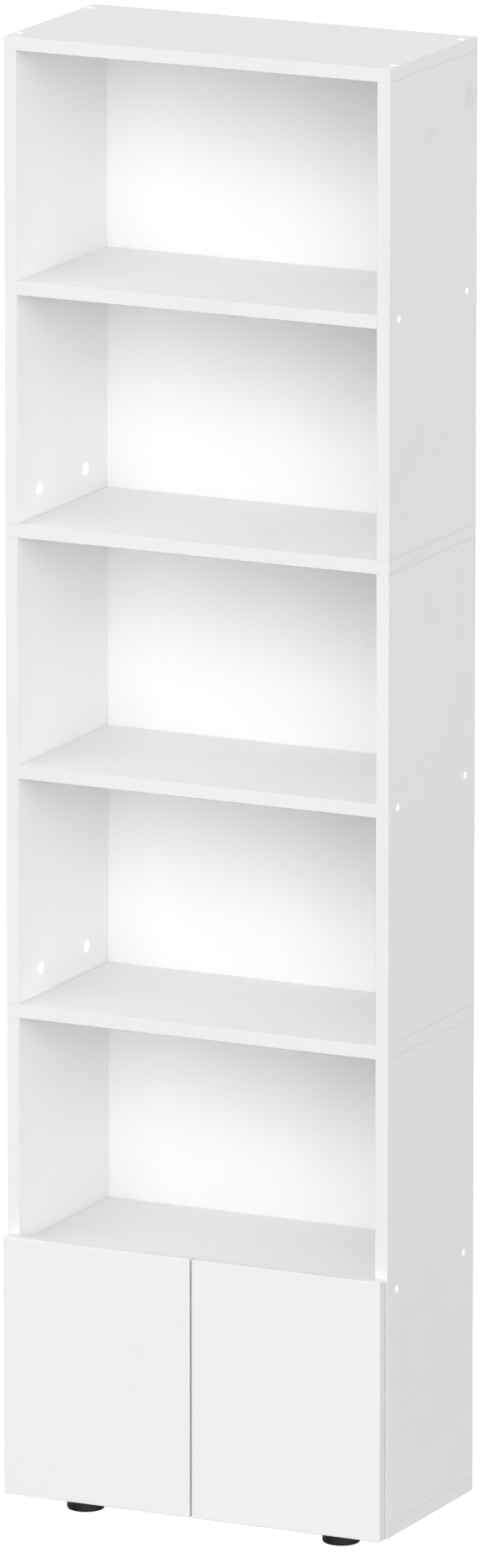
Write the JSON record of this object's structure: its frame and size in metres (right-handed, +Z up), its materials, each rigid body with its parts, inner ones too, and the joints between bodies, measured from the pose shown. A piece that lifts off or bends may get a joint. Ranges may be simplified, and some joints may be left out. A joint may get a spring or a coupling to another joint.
{
  "type": "bookcase with cabinet",
  "caption": "Tall narrow white bookcase: open bays between fixed shelves over a low cabinet with a pair of flat handleless doors on concealed hinges, on short black round feet.",
  "frame": {"origin": "on the floor, under the centre of the bounding box", "axes": "+X to the bookcase's right as seen from the front, +Y to the back, +Z up"},
  "size_m": [0.5516, 0.284, 1.9648],
  "materials": {
    "white_board": "satin white foil on particle board",
    "white_back": "smooth white lacquer on hardboard",
    "white_door": "satin white foil on fibreboard",
    "white_plastic": "satin",
    "zinc_steel": "zinc plated",
    "hinge_steel": "nickel plated",
    "beech": "raw fluted beech",
    "black_plastic": "fine matt grain",
    "clear_rubber": "soft, translucent"
  },
  "bodies": {
    "carcass": {"top_panel": "white_board", "upper_divider": "white_board", "lower_divider": "white_board", "bottom_panel": "white_board", "upper_shelf": "white_board", "middle_shelf": "white_board", "cabinet_shelf": "white_board", "left_lower_side": "white_board", "left_middle_side": "white_board", "left_upper_side": "white_board", "right_lower_side": "white_board", "right_middle_side": "white_board", "right_upper_side": "white_board", "lower_back": "white_back", "middle_back": "white_back", "upper_back": "white_back", "screw_caps": "white_plastic", "cam_covers": "white_plastic", "shelf_screws": "zinc_steel", "top_screws": "zinc_steel", "side_screws": "zinc_steel", "cam_bolts": "zinc_steel", "cam_locks": "zinc_steel", "back_nails": "zinc_steel", "foot_screws": "zinc_steel", "hinge_plate_screws": "zinc_steel", "hinge_arm_screws": "zinc_steel", "hinge_arm_pins": "hinge_steel", "left_lower_hinge_arm": "hinge_steel", "left_lower_hinge_plate": "hinge_steel", "left_upper_hinge_arm": "hinge_steel", "left_upper_hinge_plate": "hinge_steel", "right_lower_hinge_arm": "hinge_steel", "right_lower_hinge_plate": "hinge_steel", "right_upper_hinge_arm": "hinge_steel", "right_upper_hinge_plate": "hinge_steel", "dowels": "beech", "front_left_foot": "black_plastic", "front_right_foot": "black_plastic", "rear_left_foot": "black_plastic", "rear_right_foot": "black_plastic"},
    "left_outer_link": {"left_outer_links": "hinge_steel"},
    "left_inner_link": {"left_inner_links": "hinge_steel"},
    "left_door": {"left_door": "white_door", "left_lower_hinge_cup": "hinge_steel", "left_upper_hinge_cup": "hinge_steel", "left_cup_pins": "hinge_steel", "left_cup_screws": "zinc_steel", "left_door_bumpers": "clear_rubber"},
    "right_outer_link": {"right_outer_links": "hinge_steel"},
    "right_inner_link": {"right_inner_links": "hinge_steel"},
    "right_door": {"right_door": "white_door", "right_lower_hinge_cup": "hinge_steel", "right_upper_hinge_cup": "hinge_steel", "right_cup_pins": "hinge_steel", "right_cup_screws": "zinc_steel", "right_door_bumpers": "clear_rubber"}
  },
  "joints": [
    {"name": "left_outer_link_pivot", "type": "hinge", "parent": "carcass", "child": "left_outer_link", "pos_m": [-0.2447, -0.135, 0.2], "axis": [0, 0, -1], "range_deg": [-23.1, 0]},
    {"name": "left_door_hinge", "type": "hinge", "parent": "left_outer_link", "child": "left_door", "pos_m": [-0.26325, -0.1323, 0.2], "axis": [0, 0, -1], "range_deg": [0, 112.95]},
    {"name": "left_inner_link_pivot", "type": "hinge", "parent": "carcass", "child": "left_inner_link", "pos_m": [-0.2378, -0.135, 0.2], "axis": [0, 0, -1], "range_deg": [-41.91, 0]},
    {"name": "right_outer_link_pivot", "type": "hinge", "parent": "carcass", "child": "right_outer_link", "pos_m": [0.2447, -0.135, 0.2], "axis": [0, 0, 1], "range_deg": [-23.1, 0]},
    {"name": "right_door_hinge", "type": "hinge", "parent": "right_outer_link", "child": "right_door", "pos_m": [0.26325, -0.1323, 0.2], "axis": [0, 0, 1], "range_deg": [0, 112.95]},
    {"name": "right_inner_link_pivot", "type": "hinge", "parent": "carcass", "child": "right_inner_link", "pos_m": [0.2378, -0.135, 0.2], "axis": [0, 0, 1], "range_deg": [-41.91, 0]}
  ],
  "couplings": [
    {"joint": "left_outer_link_pivot", "follows": "left_door_hinge", "ratio": -0.20319},
    {"joint": "left_inner_link_pivot", "follows": "left_door_hinge", "ratio": -0.36972},
    {"joint": "right_outer_link_pivot", "follows": "right_door_hinge", "ratio": -0.20319},
    {"joint": "right_inner_link_pivot", "follows": "right_door_hinge", "ratio": -0.36972}
  ]
}
